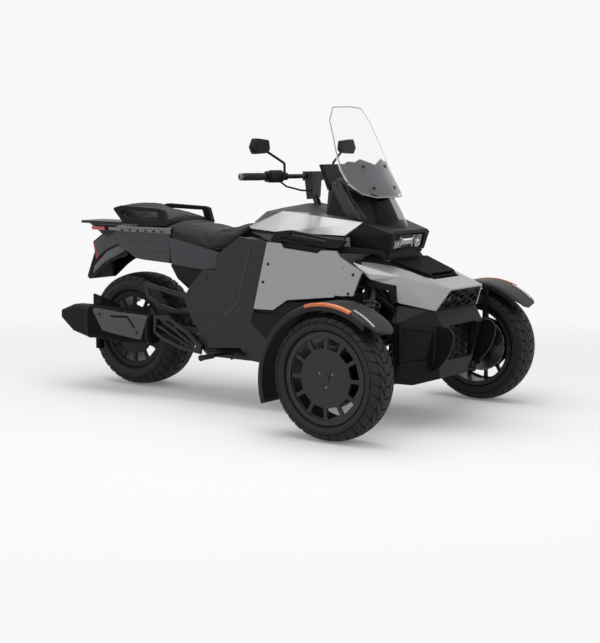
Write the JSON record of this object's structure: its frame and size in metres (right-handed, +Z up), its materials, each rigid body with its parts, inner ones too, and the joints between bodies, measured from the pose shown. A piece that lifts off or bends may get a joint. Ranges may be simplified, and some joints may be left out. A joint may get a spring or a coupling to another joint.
{
  "type": "reverse trike",
  "caption": "Three-wheeled roadster with steered front wheels, a driven rear wheel, handlebar, tall windshield and stepped seat",
  "frame": {"origin": "on the floor under the middle of the overall length, in the middle plane", "axes": "+X forward, +Y left, +Z up"},
  "size_m": [2.4368, 1.502, 1.468],
  "materials": {
    "silver_paint": "bright metallic silver, clear coat",
    "charcoal_plastic": "fine grained charcoal",
    "black_plastic": "matte black",
    "frame_paint": "satin black powder coat",
    "cast_metal": "as cast",
    "wheel_paint": "satin dark grey",
    "rubber_tyre": "matte",
    "rubber_grip": "matte",
    "seat_cover": "grained synthetic leather",
    "steel": "machined",
    "muffler_metal": "satin grey",
    "clear_screen": "clear polycarbonate",
    "smoked_screen": "smoked polycarbonate",
    "lamp_clear": "clear lens",
    "lamp_red": "red lens",
    "lamp_amber": "amber lens",
    "mirror_face": "polished",
    "engine_metal": "dark cast",
    "screen_face": "gloss black"
  },
  "bodies": {
    "chassis": {"center_console": "black_plastic", "display": "screen_face", "engine_block": "engine_metal", "exhaust": "muffler_metal", "frame": "frame_paint", "front_bumper": "black_plastic", "front_trunk": "black_plastic", "grab_handles": "black_plastic", "grilles": "black_plastic", "headlight_housing": "black_plastic", "headlight_lamps": "steel", "headlight_lens": "lamp_clear", "leg_covers": "charcoal_plastic", "lower_cowls": "black_plastic", "lower_wind_deflector": "smoked_screen", "muffler_heat_shield": "cast_metal", "nose_shell": "silver_paint", "passenger_peg_brackets": "cast_metal", "passenger_seat": "seat_cover", "radiator": "cast_metal", "rear_axle": "steel", "rear_fender": "black_plastic", "rear_side_panels": "charcoal_plastic", "rider_seat": "seat_cover", "shocks": "frame_paint", "side_panels": "silver_paint", "side_trims": "black_plastic", "steering_rack": "frame_paint", "suspension_arms": "frame_paint", "swingarm": "frame_paint", "tail_lamp": "lamp_red", "tail_rack": "black_plastic", "tail_shell": "black_plastic", "tie_down_rails": "frame_paint", "upper_fairing": "black_plastic", "windshield": "clear_screen"},
    "steering": {"handlebar": "frame_paint", "grips": "rubber_grip", "switch_pods": "black_plastic", "mirrors": "black_plastic", "mirror_glass": "mirror_face", "control_cable": "rubber_grip"},
    "trunk_lid": {"trunk_lid": "black_plastic"},
    "knuckle_right": {"knuckle_right": "cast_metal", "fender_right": "charcoal_plastic", "fender_lamps_right": "lamp_amber"},
    "front_wheel_right": {"tyre_right": "rubber_tyre", "rim_right": "wheel_paint", "brake_disc_right": "steel"},
    "knuckle_left": {"knuckle_left": "cast_metal", "fender_left": "charcoal_plastic", "fender_lamps_left": "lamp_amber"},
    "front_wheel_left": {"tyre_left": "rubber_tyre", "rim_left": "wheel_paint", "brake_disc_left": "steel"},
    "rear_wheel": {"rear_tyre": "rubber_tyre", "rear_rim": "wheel_paint", "rear_brake_disc": "steel"}
  },
  "joints": [
    {"name": "handlebar_turn", "type": "hinge", "parent": "chassis", "child": "steering", "pos_m": [0.333, 0, 1], "axis": [-0.3746, 0, 0.9272], "range_deg": [-35, 35]},
    {"name": "trunk_lid_open", "type": "hinge", "parent": "chassis", "child": "trunk_lid", "pos_m": [1.046, 0, 0.67394], "axis": [0, 1, 0], "range_deg": [0, 60]},
    {"name": "rear_wheel_spin", "type": "hinge", "parent": "chassis", "child": "rear_wheel", "pos_m": [-0.821, 0, 0.303], "axis": [0, 1, 0], "continuous": true},
    {"name": "knuckle_turn_right", "type": "hinge", "parent": "chassis", "child": "knuckle_right", "pos_m": [0.888, -0.565, 0.281], "axis": [0, 0, 1], "range_deg": [-26.3, 26.3]},
    {"name": "front_wheel_spin_right", "type": "hinge", "parent": "knuckle_right", "child": "front_wheel_right", "pos_m": [0.888, -0.654, 0.281], "axis": [0, 1, 0], "continuous": true},
    {"name": "knuckle_turn_left", "type": "hinge", "parent": "chassis", "child": "knuckle_left", "pos_m": [0.888, 0.565, 0.281], "axis": [0, 0, 1], "range_deg": [-26.3, 26.3]},
    {"name": "front_wheel_spin_left", "type": "hinge", "parent": "knuckle_left", "child": "front_wheel_left", "pos_m": [0.888, 0.654, 0.281], "axis": [0, 1, 0], "continuous": true}
  ],
  "couplings": [
    {"joint": "knuckle_turn_right", "follows": "handlebar_turn", "ratio": 0.75},
    {"joint": "knuckle_turn_left", "follows": "handlebar_turn", "ratio": 0.75}
  ]
}
